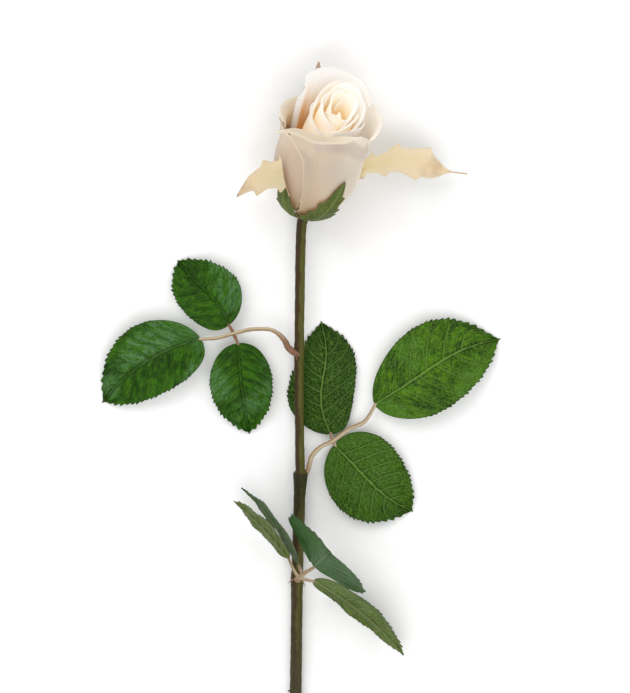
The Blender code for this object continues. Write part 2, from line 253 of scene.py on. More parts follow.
def shade(colour, factor):
    """The same colour, darker."""
    return tuple(c * factor for c in colour)


PETAL_PALE = srgb(255, 229, 196)
# Painted shade: the lilac-grey shade under the front petal's rolled lip.
PAINTED_LIP_SHADE = srgb(178, 162, 160)
SLEEVE_DUSK = srgb(30, 34, 10)

# Dark, light, vein, painted sheen and margin colour, roughness, and the strength of the net and of the veins.
LEAF_SKINS = {
    "leaf_dark_top": ((14, 50, 0), (54, 102, 8), (80, 124, 44), (88, 126, 84), (8, 20, 4), 0.33, 0.06, 0.16),
    "leaf_dark_under": ((84, 116, 70), (104, 134, 86), (150, 166, 112), (120, 146, 100), (40, 60, 30), 0.6),
    "leaf_mid_top": ((18, 52, 0), (72, 116, 8), (130, 168, 76), (72, 112, 46), (12, 26, 4), 0.38, 0.27, 0.5),
    "leaf_mid_under": ((92, 124, 70), (112, 142, 86), (156, 172, 112), (128, 152, 100), (44, 62, 30), 0.6),
    "leaf_olive_top": ((62, 78, 26), (98, 114, 48), (128, 142, 80), (92, 112, 62), (28, 36, 12), 0.45, 0.15),
    "leaf_olive_under": (
        (72, 92, 40), (106, 124, 66), (138, 150, 96), (100, 122, 76), (32, 42, 16), 0.55, 0.15),
    "leaf_blue_top": ((30, 66, 22), (62, 98, 46), (88, 122, 66), (72, 106, 70), (18, 32, 12), 0.42, 0.1),
    "leaf_pale_olive": (
        (80, 98, 44), (116, 132, 78), (142, 154, 100), (108, 128, 84), (34, 46, 18), 0.55, 0.12),
    "leaf_grey_top": ((66, 88, 48), (96, 116, 82), (120, 138, 100), (96, 120, 90), (26, 40, 18), 0.5, 0.12),
    "hip_skin": ((70, 88, 44), (104, 120, 62), (120, 136, 76), (90, 106, 54), (80, 92, 46), 0.5, 0.2),
    "sepal_green": ((62, 78, 34), (100, 112, 50), (128, 140, 76), (92, 108, 52), (110, 92, 54), 0.55, 0.2),
    "sepal_edge": ((110, 84, 54), (140, 112, 74), (150, 120, 80), (130, 104, 70), (90, 66, 42), 0.6, 0.1),
}
# Colour at the base (partly a painted glow of light bounced between petals), low, high, at the rim,
# of the painted shade in the depths and at the margin, then streaks and inner light.
PETAL_SKINS = {
    "petal_pink": (
        (208, 190, 146), (208, 184, 160), (208, 184, 162), (212, 190, 168), (198, 174, 138),
        (250, 236, 196)),
    # The inner face of the outer petals: tan, partly its own colour and partly painted shade of the hollow
    # cup.
    "petal_pink_inside": (
        (204, 140, 76), (212, 170, 118), (200, 170, 132), (204, 178, 146), (208, 150, 88),
        (228, 206, 174)),
    "petal_cream": (
        (242, 212, 164), (246, 228, 202), (248, 241, 230), (250, 245, 238), (242, 214, 166),
        (253, 250, 244), 0.12, 0.03),
    "petal_cream_inside": (
        (238, 168, 92), (248, 208, 148), (247, 240, 228), (249, 246, 240), (228, 154, 74),
        (253, 250, 244), 0.12, 0.05),
    "petal_heart": (
        (248, 200, 116), (249, 222, 170), (250, 238, 214), (252, 248, 240), (247, 204, 126),
        (254, 251, 246), 0.12, 0.14),
    "sepal_beige": (
        (206, 192, 120), (222, 202, 146), (220, 186, 150), (120, 84, 66), (206, 190, 134),
        (206, 170, 122), 0.6),
    "sepal_tan": (
        (190, 168, 130), (204, 178, 146), (196, 160, 138), (130, 92, 76), (190, 168, 130),
        (170, 128, 104), 0.6),
}


class Look:
    """A node material under construction."""

    def __init__(self, name, **constants):
        self.material = bpy.data.materials.new(name)
        self.material.use_nodes = True
        self.tree = self.material.node_tree
        self.shader = self.tree.nodes["Principled BSDF"]
        for title, value in constants.items():
            self.shader.inputs[title.replace("_", " ")].default_value = value

    def feed(self, socket, value):
        """Links a socket to another, or sets it to a number."""
        if isinstance(value, bpy.types.NodeSocket):
            self.tree.links.new(value, socket)
        else:
            socket.default_value = value

    def node(self, kind, inputs, **settings):
        made = self.tree.nodes.new(kind)
        for title, value in settings.items():
            setattr(made, title, value)
        for key, value in inputs.items():
            self.feed(made.inputs[key], value)
        return made

    def value(self, title):
        """A number that the mesh carries for each of its points; 0 where it carries none."""
        return self.node("ShaderNodeAttribute", {}, attribute_name=title).outputs["Fac"]

    def times(self, first, second):
        return self.node("ShaderNodeMath", {0: first, 1: second}, operation="MULTIPLY").outputs[0]

    def plus(self, first, second):
        return self.node("ShaderNodeMath", {0: first, 1: second}, operation="ADD").outputs[0]

    def rescale(self, value, low, high, out_low=0.0, out_high=1.0):
        """low to high becomes out_low to out_high, with soft ends."""
        inputs = {"Value": value, "From Min": low, "From Max": high, "To Min": out_low, "To Max": out_high}
        return self.node("ShaderNodeMapRange", inputs, interpolation_type="SMOOTHSTEP").outputs["Result"]

    def mix(self, factor, first, second):
        """A blend of two colours."""
        made = self.node("ShaderNodeMix", {"Factor": factor}, data_type="RGBA")
        for key, colour in ((6, first), (7, second)):
            self.feed(made.inputs[key], (*colour, 1.0) if isinstance(colour, tuple) else colour)
        return made.outputs[2]

    def ramp(self, factor, stops):
        """Colours that follow one another at given places."""
        made = self.node("ShaderNodeValToRGB", {"Fac": factor})
        elements = made.color_ramp.elements
        while len(elements) < len(stops):
            elements.new(0.5)
        for element, (place, colour) in zip(elements, stops):
            element.position = place
            element.color = (*colour, 1.0)
        return made.outputs["Color"]

    def vector(self, x, y, z):
        return self.node("ShaderNodeCombineXYZ", {0: x, 1: y, 2: z}).outputs[0]

    def place(self):
        return self.node("ShaderNodeTexCoord", {}).outputs["Object"]

    def noise(self, vector, scale, detail=3.0, roughness=0.5, distortion=0.0):
        inputs = {"Vector": vector, "Scale": scale, "Detail": detail, "Roughness": roughness,
                  "Distortion": distortion}
        return self.node("ShaderNodeTexNoise", inputs).outputs["Fac"]

    def cells(self, vector, scale):
        """Distance to the edges of irregular cells."""
        return self.node("ShaderNodeTexVoronoi", {"Vector": vector, "Scale": scale},
                         feature="DISTANCE_TO_EDGE").outputs["Distance"]

    def bump(self, height, distance, strength, under=None):
        """Fine relief, on top of the relief under it."""
        inputs = {"Height": height, "Distance": distance, "Strength": strength}
        if under is not None:
            inputs["Normal"] = under
        return self.node("ShaderNodeBump", inputs).outputs["Normal"]

    def done(self, colour, roughness=None, normal=None):
        for title, value in (("Base Color", colour), ("Roughness", roughness), ("Normal", normal)):
            if value is not None:
                self.tree.links.new(value, self.shader.inputs[title])
        return self.material


def petal_look(name, low, middle, high, rim, painted_depth_shade, edge, streak=0.25, inner_light=0.0):
    """Petal skin: colour from base to rim, fine veins that run up the petal, soft sheen.

    The inner light is faint and stands in for light that comes through the petal.
    """
    low, middle, high, rim, painted_depth_shade, edge = (srgb(*c) for c in (low, middle, high, rim, painted_depth_shade, edge))
    look = Look(name, Subsurface_Weight=0.7, Subsurface_Scale=0.004, Sheen_Weight=0.1, Sheen_Roughness=0.5,
                Specular_IOR_Level=0.28, Emission_Strength=inner_light)
    look.shader.inputs["Subsurface Radius"].default_value = (1.0, 0.93, 0.82)
    along = look.value("along")
    wide = look.times(look.value("across"), 26.0)
    drawn = look.vector(wide, look.times(along, 2.6), look.value("seed"))
    veins = look.noise(drawn, 1.9, 4.0, 0.62, 0.4)
    blotches = look.noise(look.place(), 90.0)
    shifted = look.plus(along, look.rescale(blotches, 0.3, 0.7, -0.07, 0.07))
    # From base to rim; the warm orange low on inner faces is partly the petal's own colour and partly a
    # painted glow of light bounced between the petals.
    colour = look.ramp(shifted, [(0.0, low), (0.32, middle), (0.8, high), (1.0, rim)])
    colour = look.mix(look.rescale(veins, 0.38, 0.7, 0.0, streak), colour, shade(middle, 0.86))
    # Painted shade: warm orange shade deep in the cup and in the gaps between petals.
    colour = look.mix(look.value("painted_depth_shade"), colour, painted_depth_shade)
    colour = look.mix(look.value("edge"), colour, edge)
    colour = look.mix(look.value("pale"), colour, PETAL_PALE)
    # Painted shade under the rolled lip.
    colour = look.mix(look.value("painted_lip_shade"), colour, PAINTED_LIP_SHADE)
    look.tree.links.new(colour, look.shader.inputs["Emission Color"])
    fine = look.noise(drawn, 7.0, 3.0, 0.6)
    normal = look.bump(veins, 0.0007, 0.25)
    normal = look.bump(fine, 0.0003, 0.4, normal)
    rough = look.rescale(look.noise(look.place(), 420.0), 0.3, 0.7, 0.5, 0.66)
    return look.done(colour, rough, normal)


def leaf_look(name, dark, light, vein, painted_sheen, edge, rough, net=0.35, vein_strength=0.6):
    """Leaf skin: green blades with a net of small veins, paler main veins and a dark margin."""
    dark, light, vein, painted_sheen, edge = (srgb(*c) for c in (dark, light, vein, painted_sheen, edge))
    look = Look(name, Specular_IOR_Level=0.16)
    look.shader.inputs["Specular Tint"].default_value = (0.8, 1.0, 0.6, 1.0)
    across = look.value("across")
    seed = look.value("seed")
    lengthways = look.times(look.value("along"), look.value("long"))
    blade = look.vector(look.times(across, look.value("wide")), lengthways, seed)
    grain = look.vector(look.times(look.value("stripe"), 2.6), look.times(across, 2.6), seed)
    streaks = look.noise(grain, 1.0, 4.0, 0.62, 1.2)
    patches = look.noise(blade, 0.09, 4.0, 0.55, 0.6)
    broad = look.noise(look.place(), 34.0, 2.0, 0.4)
    small = look.noise(blade, 0.9, 3.0, 0.6)
    lines = look.cells(blade, 0.55)
    finer = look.cells(blade, 1.3)
    mixed = look.plus(look.times(streaks, 0.6), look.times(patches, 0.4))
    colour = look.mix(look.rescale(mixed, 0.37, 0.63), dark, light)
    # Painted sheen: broad patches of a pale bluish highlight colour that stand for reflections of the light.
    painted_sheen_colour = look.mix(look.rescale(streaks, 0.4, 0.6), light, painted_sheen)
    colour = look.mix(look.rescale(broad, 0.5, 0.62, 0.0, 0.7), colour, painted_sheen_colour)
    colour = look.mix(look.rescale(small, 0.48, 0.62, 0.0, 0.45), colour, shade(dark, 0.5))
    colour = look.mix(look.value("tone"), colour, shade(dark, 0.6))
    colour = look.mix(look.rescale(lines, 0.0, 0.09, net, 0.0), colour, vein)
    # Painted shade: dark lines in the creases beside the midrib and the side veins.
    colour = look.mix(look.times(look.value("painted_crease_shade"), 0.7), colour, shade(dark, 0.3))
    colour = look.mix(look.times(look.value("vein"), vein_strength), colour, vein)
    colour = look.mix(look.value("margin"), colour, edge)
    normal = look.bump(look.rescale(lines, 0.0, 0.3), 0.0003, 0.35)
    normal = look.bump(look.rescale(finer, 0.0, 0.3), 0.00012, 0.3, normal)
    normal = look.bump(streaks, 0.001, 0.5, normal)
    return look.done(colour, look.rescale(patches, 0.3, 0.7, rough - 0.07, rough + 0.1), normal)


def petal_skin(name):
    return petal_look(name, *PETAL_SKINS[name])


def leaf_skin(name):
    return leaf_look(name, *LEAF_SKINS[name])


def bark_look(name, left, right, low, rough, fibre=0.5):
    """Stem skin: a colour for each side and one for the old end, long fibres and pale flecks."""
    left, right, low = (srgb(*c) for c in (left, right, low))
    fleck = tuple(min(c * 2.6 + 0.02, 1) for c in right)
    look = Look(name, Specular_IOR_Level=0.2)
    aside = look.value("aside")
    skin = look.vector(aside, look.value("around"), look.times(look.value("length"), 0.012))
    fibres = look.noise(skin, 6.5, 4.0, 0.65, 0.2)
    blotches = look.noise(look.place(), 130.0)
    flecks = look.noise(look.place(), 900.0, 2.0)
    side = look.plus(aside, look.rescale(blotches, 0.3, 0.7, -0.25, 0.25))
    colour = look.mix(look.rescale(side, -0.1, 0.4), left, right)
    colour = look.mix(look.value("old"), colour, low)
    colour = look.mix(look.value("dusk"), colour, SLEEVE_DUSK)
    colour = look.mix(look.rescale(fibres, 0.45, 0.72, 0.0, fibre), colour, shade(left, 0.4))
    colour = look.mix(look.rescale(flecks, 0.62, 0.76, 0.0, 0.22), colour, fleck)
    normal = look.bump(fibres, 0.0007, 0.5)
    normal = look.bump(flecks, 0.0002, 0.4, normal)
    return look.done(colour, look.rescale(fibres, 0.3, 0.7, rough - 0.08, rough + 0.12), normal)


# ---------------- leaflets

# The share of a leaflet's length that has no teeth.
BARE_FOOT = 0.18


def saw_teeth(along, across, teeth, bite, seed):
    """How far a leaflet's margin stands out in millimetres: uneven teeth, none on the bare foot."""
    place = (along * teeth + np.where(across > 0, 0.0, 0.37)) % 1.0
    saw = np.interp(place, [0, 0.72, 1], [0, 1, 0])
    saw = saw * smooth((along - BARE_FOOT) / 0.1) * smooth((0.985 - along) / 0.05)
    rng = np.random.default_rng(seed)
    wave = np.arange(len(along)) / ROWS_PER_TOOTH * 1.7 + rng.uniform(0, 6)
    uneven = 1 + 0.35 * np.sin(wave)[:, None]
    return saw * uneven * bite * np.abs(across) ** 14


class Veins:
    """Where a leaflet's midrib and side veins run over its grid, in millimetres."""

    def __init__(self, along, across, width, size, pairs):
        self.reach = np.abs(across)
        self.mid = self.reach * width
        lean = 0.2 * self.reach ** 1.2
        self.stripe = (along - lean + np.where(across > 0, 0.0, 0.45 / pairs)) * pairs
        nearest = np.round(self.stripe)
        self.off = np.abs(self.stripe - nearest) / pairs * size * 0.75
        inside = smooth((nearest - 0.4) / 0.5) * smooth((pairs - 0.6 - nearest) / 0.5)
        self.fade = inside * (1 - 0.8 * self.reach ** 3)
        self.midrib = np.exp(-(self.mid / (0.15 + 0.26 * (1.15 - along))) ** 2)
        self.marks = np.maximum(self.midrib, np.exp(-(self.off / 0.25) ** 2) * self.fade * 0.75)
        # Painted shade in the creases beside the midrib and the side veins.
        beside = np.exp(-((self.mid - 0.75) / 0.45) ** 2) * smooth(along / 0.1)
        self.painted_crease_shade = np.maximum(beside, 0.6 * np.exp(-((self.off - 0.45) / 0.35) ** 2) * self.fade)

    def relief(self):
        """Height over the smooth blade: sunk at the veins and puffed up between them."""
        sunk = -0.9 * np.exp(-(self.mid / 1.2) ** 2) - 0.34 * np.exp(-(self.off / 0.7) ** 2) * self.fade
        puffed = np.cos(2 * np.pi * self.stripe) * self.fade * smooth(self.reach / 0.25)
        return sunk - 0.36 * puffed


def leaflet(name, base, tip, half_width, looks, seed, face=(0, 0, 1), bow=3.0, sway=0.0, skew=0.0,
            fold=0.12, widest=0.78, blunt=0.55, pairs=8, teeth=24, ruffle=0.5, curl=0.0, tone=0.0,
            quilted=1.0, bite=1.0):
    """A toothed leaflet with an impressed midrib and side veins, its upper side towards face.

    Bow lifts its middle, sway and skew bend it sideways, fold lifts and curl turns its margins, widest
    and blunt set its outline, and quilted and bite say how strong its relief and its teeth are.
    """
    base = np.array(base, float)
    tip = np.array(tip, float)
    line = tip - base
    size = np.linalg.norm(line)
    ahead = line / size
    normal = np.array(face, float) - ahead * ahead.dot(np.array(face, float))
    normal /= np.linalg.norm(normal)
    side = np.cross(normal, ahead)
    along, across = grid(teeth * ROWS_PER_TOOTH, LEAF_COLUMNS)
    reach = np.abs(across)
    share = np.sin(np.pi * np.clip(along, 0.003, 0.992) ** widest) ** blunt * (1 - along ** 12)
    width = np.maximum(half_width * share, 0.35)
    rise = 4 * along * (1 - along)
    saw = saw_teeth(along, across, teeth, bite, seed)
    veins = Veins(along, across, width, size, pairs)
    aside = sway * rise + skew * np.sin(2 * np.pi * along)
    points = base + line * along[..., None] + ahead * (saw * 0.9)[..., None]
    points = points + side * (aside + across * width + np.sign(across) * saw * 0.8)[..., None]
    uneven = 0.3 * ripples(across * half_width, along * size, seed, 11.0) * smooth(reach / 0.3)
    phase = 2 * np.pi * (along * 2.3 + 0.17 * seed) + np.where(across > 0, 0.0, 1.9)
    wave = ruffle * np.sin(phase) * reach ** 2.5 * np.sqrt(share + 0.01)
    lift = bow * rise + veins.mid * fold * (1 - 0.9 * reach) + veins.relief() * quilted + uneven + wave
    lift = lift + curl * reach ** 1.6 * share
    points = points + normal * lift[..., None]
    rest_on_floor(points)
    values = {"along": along, "across": across, "vein": veins.marks, "painted_crease_shade": veins.painted_crease_shade,
              "margin": 0.8 * smooth((reach - 0.97) / 0.03) * smooth((1.02 - along) / 0.02),
              "stripe": veins.stripe, "tone": tone, "wide": half_width, "long": size, "seed": seed * 3.7}
    thickness = 0.2 + 0.22 * (1 - reach ** 2) + 0.5 * veins.midrib * (1 - along)
    sheet(name, points, thickness[..., None], looks, values)


def make_leaves():
    dark_under = leaf_skin("leaf_dark_under")
    dark = (leaf_skin("leaf_dark_top"), dark_under, dark_under)
    mid_under = leaf_skin("leaf_mid_under")
    mid = (leaf_skin("leaf_mid_top"), mid_under, mid_under)
    olive = leaf_skin("leaf_olive_top")
    under = leaf_skin("leaf_olive_under")
    leaflet("leaflet_left_end", (-54.8, 194.2, 7.9), (-109.2, 159.0, 0.7), 19.8, dark, 1,
            bow=5.0, sway=-5.8)
    leaflet("leaflet_left_upper", (-39.1, 201.9, 9.0), (-67.6, 237.6, 1.2), 16.6, dark, 2,
            bow=3.5, sway=-1.7, skew=-1.0, teeth=20)
    leaflet("leaflet_left_lower", (-34.1, 191.7, 8.8), (-28.0, 141.9, 1.4), 16.9, dark, 3,
            bow=3.5, sway=-1.0, teeth=21)
    leaflet("leaflet_right_end", (41.3, 158.0, 6.1), (110.6, 194.2, 0.7), 23.4, mid, 4,
            bow=5.5, sway=4.0, skew=-1.2, widest=0.9, blunt=0.6, teeth=27, pairs=7)
    leaflet("leaflet_right_upper", (17.0, 141.7, 4.1), (11.6, 204.0, 1.0), 18.3, mid, 5,
            bow=0.6, sway=1.6, skew=2.6, fold=0.03, ruffle=0.15, tone=0.75)
    leaflet("leaflet_right_lower", (18.9, 135.9, 5.3), (62.4, 99.0, 0.7), 22.0, mid, 6,
            bow=4.0, sway=-3.0, skew=0.8, tone=0.4)
    leaflet("leaflet_lower_left", (-6.2, 73.6, 18.8), (-36.0, 105.4, 20.0), 13.5,
            (leaf_skin("leaf_pale_olive"), olive, olive), 7, face=(0.74, 0.62, -0.28), bow=1.5,
            fold=0.2, teeth=18, quilted=0.5, bite=1.5)
    leaflet("leaflet_lower_left_front", (-0.3, 69.9, 28.2), (-31.8, 112.8, 34.0), 10.0,
            (leaf_skin("leaf_grey_top"), under, under), 8, face=(0.76, 0.64, 0.2), bow=3.0,
            fold=0.2, teeth=20, quilted=0.5)
    leaflet("leaflet_lower_end", (7.4, 69.2, 31.6), (16.4, 78.4, 67.5), 28.0,
            (leaf_skin("leaf_blue_top"), under, under), 9, face=(-0.69, -0.66, 0.27), bow=1.0,
            fold=-0.4, teeth=18, curl=-5.0, pairs=6, quilted=0.35, bite=2.2)
    leaflet("leaflet_lower_right", (7.7, 61.5, 16.0), (57.2, 20.4, 12.0), 15.5, (olive, under, under),
            10, face=(0.60, 0.74, -0.40), bow=3.5, fold=0.45, teeth=22, quilted=0.5, bite=1.4)


# ---------------- petals

def margin_at(profile, along):
    """A petal's half width in degrees at a share of its length, smooth through (share, degrees) pairs."""
    shares, degrees = zip(*profile)
    line = np.linspace(0, 1, 201)
    rough = np.interp(line, shares, degrees)
    kernel = np.hanning(13) / np.hanning(13).sum()
    return np.interp(along, line, np.convolve(np.pad(rough, 6, mode="edge"), kernel, mode="valid"))


def margin_of(along, across):
    """How near a point is to the petal's pale margin, 0 to 0.8."""
    return 0.8 * np.maximum(smooth((np.abs(across) - 0.955) / 0.04), smooth((along - 0.965) / 0.03))


def rolled(height, top, bend):
    """A rim that rises past the start of its bend: its new height, and how far it turns outwards."""
    turn = np.maximum((height - (top - bend)) / bend, 0.0)
    return np.where(turn > 0, top - bend + bend * np.sin(turn), height), bend * (1 - np.cos(turn))


def petal_spread(along, across, half_angle, left, right):
    """A petal's half width in radians: its own margins where they are given, else a plain outline."""
    spread = half_angle * (0.42 + 0.58 * np.sin(np.minimum(along / 0.6, 1.0) * np.pi / 2))
    for profile, half in ((left, across > 0), (right, across < 0)):
        if profile:
            spread = np.where(half, np.radians(margin_at(profile, along)), spread)
    return spread


def fold_margin(along, across, spread, facing, radius, side_bend):
    """Folds the margin on the side of smaller angles outwards.

    Gives angle, radius, and how much a point is on the folded margin or in the shadow beside it.
    """
    fold = smooth((1.0 - along) / HOOD_FOLD_FULL)
    past = np.maximum(HOOD_FOLD - across, 0.0) * spread * radius / side_bend * 2.0 * fold
    radius = radius + side_bend * (1 - np.cos(past))
    angle = facing + (across + (np.maximum(across, HOOD_FOLD) - across) * fold) * spread
    angle = angle - side_bend * np.sin(past) / radius
    folded = 0.9 * smooth((-0.82 - across) / 0.05) * fold
    shadow = 0.85 * smooth((-0.4 - across) / 0.3) * (1 - smooth((along - 0.68) / 0.25)) * (1 - folded)
    return angle, radius, folded, shadow


def petal(name, facing, half_angle, top, looks, seed, start=2.0, belly=0.0, rim=0.0, curl=0.0,
          curl_from=50.0, free=-2.0, drop=0.1, wave=0.6, bend=1.8, roll=3.0, side_bend=0.0, left=None,
          right=None, tilt=0.0, over=(1.0, 1.0), deep=0.15, closed=0.0, pale=0.0, pale_from=0.1,
          painted_lip_shade=0.0):
    """A petal round the flower's axis; each one lies outside its neighbour on the side of smaller angles.

    Belly and rim set it off from the cup, curl, bend and roll turn its rim outwards from the side free
    on and closed holds the far corner in, drop lowers both corners and tilt raises one, and over scales
    how far each half stands off. Deep says how far up its painted shade reaches, pale blends in a paler
    warm colour towards the side of smaller angles, and a lilac-grey painted shade lies under the rolled lip.
    """
    facing = math.radians(facing)
    half_angle = math.radians(half_angle)
    along, across = grid(*PETAL_GRID)
    rim_height = top * (1 - drop * np.abs(across) ** 3)
    rim_height = rim_height + wave * ripples(across * 20, across * 0 + seed, seed, 14.0)
    rim_height = rim_height - tilt * np.minimum(across, 0.0)
    loose = smooth((across - free) / 0.6)
    if closed:
        loose = loose * smooth((across + 1.0) / closed)
    height = start + (rim_height + (roll - bend) * loose - start) * along
    spread = petal_spread(along, across, half_angle, left, right)
    angle = facing + across * spread
    inset = belly + (rim - belly) * smooth((along - 0.45) / 0.55)
    outside = PETAL_SLOPE * across * spread * np.where(across > 0, over[0], over[1])
    radius = cup_radius(height) + inset + outside
    turned_out = smooth((height - curl_from) / (top - curl_from)) ** 1.5
    radius = radius + 0.6 * curl * turned_out * loose
    rounded, out = rolled(height, rim_height, bend)
    radius = radius + out * loose
    height = height + (rounded - height) * loose
    radius = radius + 0.22 * ripples(angle * 20, height, seed + 50, 16.0)
    height = height - outside * (1 - smooth(height / BASE_HEIGHT))
    folded = shadow = 0 * along
    if side_bend:
        angle, radius, folded, shadow = fold_margin(along, across, spread, facing, radius, side_bend)
    # Painted shade under the rolled lip: a band just below where the rim turns out.
    under_lip = smooth((along - 0.68) / 0.08) * (1 - smooth((along - 0.84) / 0.05))
    # Painted shade low in the cup, up to deep, and in the gap beside a folded margin.
    values = {"along": along, "across": across, "seed": seed * 2.3,
              "painted_depth_shade": np.maximum(0.85 * (1 - smooth((along - deep) / 0.4)) * (1 - folded), shadow),
              "edge": np.maximum(margin_of(along, across), folded),
              "painted_lip_shade": painted_lip_shade * under_lip * smooth((0.5 - across) / 0.4),
              "pale": pale * smooth((pale_from - across) / 0.8) * smooth(along / 0.3)}
    thickness = (0.34 - 0.16 * smooth((along - 0.8) / 0.2))[..., None]
    sheet(name, in_flower(angle, radius, height), thickness, looks, values)


def inner_petal(name, looks, seed, start, top, belly, rim, facing, half_angle, aside):
    """A petal of the inner rings, with a raised back, a lowered front and a rim that turns outwards."""
    drop = 0.16
    lean = 0.72
    bend = 1.0
    roll = 2.2
    facing = math.radians(facing)
    half_angle = math.radians(half_angle)
    along, across = grid(*INNER_GRID)
    rim_height = top * (1 - drop * across ** 2) + 0.7 * ripples(across * 16, across * 0 + seed, seed, 12.0)
    height = start + (rim_height + roll - bend - start) * along
    bowl = np.sqrt(1 - (1 - np.minimum(along / 0.55, 1.0)) ** 2)
    spread = half_angle * (0.5 + 0.5 * bowl)
    turned = INNER_SLOPE * across * spread
    angle = facing + across * spread
    radius = belly * (0.35 + 0.65 * bowl) + (rim - belly) * smooth((along - 0.5) / 0.5) + turned
    height = height - turned * (1 - bowl)
    height, out = rolled(height, rim_height, bend)
    height = height - lean * radius * np.sin(angle) * smooth((along - 0.3) / 0.7)
    radius = radius + out
    radius = radius + 0.12 * ripples(angle * 12, height, seed + 50, 12.0)
    # Painted shade low in each inner petal, deep in the cup.
    values = {"along": along, "across": across, "seed": seed * 2.3,
              "painted_depth_shade": 0.85 * (1 - smooth((along - 0.6) / 0.34)), "edge": margin_of(along, across)}
    thickness = (0.3 - 0.12 * smooth((along - 0.8) / 0.2))[..., None]
    points = in_flower(angle, radius, height) + RIGHT * (aside * along ** 2)[..., None]
    sheet(name, points, thickness, looks, values)


def make_outer_petals(outer, cream):
    petal("outer_front", 88, 62, 61.5, outer, 1, rim=0.6, curl=2.0, curl_from=54.0,
          bend=4.1, roll=11.0, wave=1.2, tilt=4.0, over=(1.0, -1.0), closed=0.75, pale=0.95, painted_lip_shade=0.55,
          left=[(0, 30), (0.06, 20), (0.12, 12), (0.34, 12), (0.52, 16), (0.66, 22), (0.74, 34),
                (0.8, 46), (1, 51)],
          right=[(0, 34), (0.4, 74), (0.86, 75), (1, 62)])
    petal("outer_left", 165, 54, 49.5, outer, 2, curl=4.2, curl_from=40.0, free=0.0,
          right=[(0, 50), (0.4, 68), (1, 68)])
    petal("outer_left_back", 216, 48, 58.0, outer, 3, curl=4.5, curl_from=51.0, deep=0.62)
    petal("outer_right_back", 325, 60, 65.0, cream, 4, rim=0.6, curl=3.0, curl_from=51.0,
          pale=0.8, pale_from=2.0, left=[(0, 20), (0.3, 22), (0.6, 26), (0.72, 44), (0.8, 56), (1, 60)])
    petal("outer_right", 25, 50, 49.0, cream, 5, curl=0.6, curl_from=38.0, free=1.0,
          drop=0.2, over=(0.0, 1.0), left=[(0, 14), (0.3, 26), (0.7, 27), (1, 25)],
          right=[(0, 34), (0.4, 76), (1, 80)])


def make_middle_petals(cream):
    petal("hood", 262, 72, 79.5, cream, 6, start=7.0, belly=-4.6, rim=-4.9, curl=1.5,
          curl_from=60.0, drop=0.14, side_bend=1.8, deep=0.5, closed=0.35)
    petal("middle_right", 8, 70, 64.0, cream, 7, start=7.0, belly=-4.6, rim=-4.8,
          curl=0.8, curl_from=54.0, free=-0.2, drop=0.05, deep=0.4)


def make_inner_petals(looks):
    """Three rings of three petals, each ring narrower, higher and further to the right."""
    names = ("start", "top", "belly", "rim", "facing", "half_angle", "aside")
    rings = {"inner": (12.0, 65.0, 14.5, 13.2, 128, 105, 3.8),
             "centre": (17.0, 67.5, 11.0, 9.8, 40, 112, 4.7),
             "heart": (22.0, 69.0, 7.4, 6.2, 95, 112, 5.6)}
    seed = 20
    for title, measures in rings.items():
        for number in range(3):
            ring = dict(zip(names, measures))
            ring["facing"] += 120 * number
            ring["top"] += 1.8 * number
            inner_petal(f"{title}_{number + 1}", looks, seed, **ring)
            seed += 1


def make_bud(look):
    """The rolled core: rings given by their height along the flower's axis and their radius."""
    base = FLOWER_BASE + UP * 28 + RIGHT * 4.8
    profile = ((0, 0.9), (6, 2.3), (16, 2.7), (26, 2.5), (33, 1.6), (36, 0.5))
    tube("bud", [[(*(base + UP * height), radius) for height, radius in profile]], look,
         rings=40, sides=32)


def make_flower():
    pink_inside = petal_skin("petal_pink_inside")
    cream = petal_skin("petal_cream")
    heart = petal_skin("petal_heart")
    pale = (cream, petal_skin("petal_cream_inside"), cream)
    make_outer_petals((petal_skin("petal_pink"), pink_inside, pink_inside), pale)
    make_middle_petals(pale)
    make_inner_petals((heart, heart, cream))
    make_bud(heart)


# ---------------- sepals

def sepal(name, path, half_width, looks, seed, twist=0.0, hook=0.0, widest=0.85, teeth=2.4,
          foot=3.2, thread=1.1):
    """A narrow toothed sepal along a path of heights, radii and angles from the flower's base.

    Twist turns its blade in degrees, hook bends its tip sideways, foot widens its lower end, and from
    the share thread on it is as thin as a thread.
    """
    along, across = grid(*SEPAL_GRID)
    reach = np.abs(across)
    spot = on_curve(path, along)
    height, radius, angle = spot[..., 0], spot[..., 1], np.radians(spot[..., 2])
    share = np.sin(np.pi * np.clip(along, 0.02, 0.985) ** widest) ** 0.8
    width = np.maximum(half_width * share, 0.35) + foot * smooth((0.5 - along) / 0.5)
    tooth = np.interp((along * 6.5 + 0.4 + 0.3 * (across > 0)) % 1.0, [0.3, 0.76, 0.86], [0, 1, 0])
    toothed = smooth((along - 0.25) / 0.1) * smooth((0.94 - along) / 0.1)
    width = width + teeth * tooth * reach ** 4 * toothed
    width = np.maximum(width * (1 - smooth((along - thread) / 0.13)), 0.4)
    offset = across * width
    turn = math.radians(twist) * smooth((along - 0.3) / 0.25)
    sideways = np.cos(angle)[..., None] * FRONT - np.sin(angle)[..., None] * RIGHT
    outward = sideways * np.cos(turn)[..., None] + UP * np.sin(turn)[..., None]
    hug = offset ** 2 / (2 * np.maximum(radius, 9.0)) * np.cos(turn)
    ridge = 0.35 * np.exp(-(offset / 0.8) ** 2) * smooth((0.95 - along) / 0.2)
    points = in_flower(angle, radius - hug + ridge, height)
    points = points + outward * (offset + hook * smooth((along - 0.8) / 0.2))[..., None]
    rest_on_floor(points)
    values = {"along": along, "across": across, "seed": seed * 2.9, "wide": half_width, "long": 50.0,
              "vein": np.exp(-(offset / 0.5) ** 2), "margin": smooth((reach - 0.9) / 0.1),
              "stripe": along * 6, "edge": 0.7 * smooth((reach - 0.86) / 0.14)}
    sheet(name, points, (0.5 - 0.2 * reach)[..., None], looks, values)


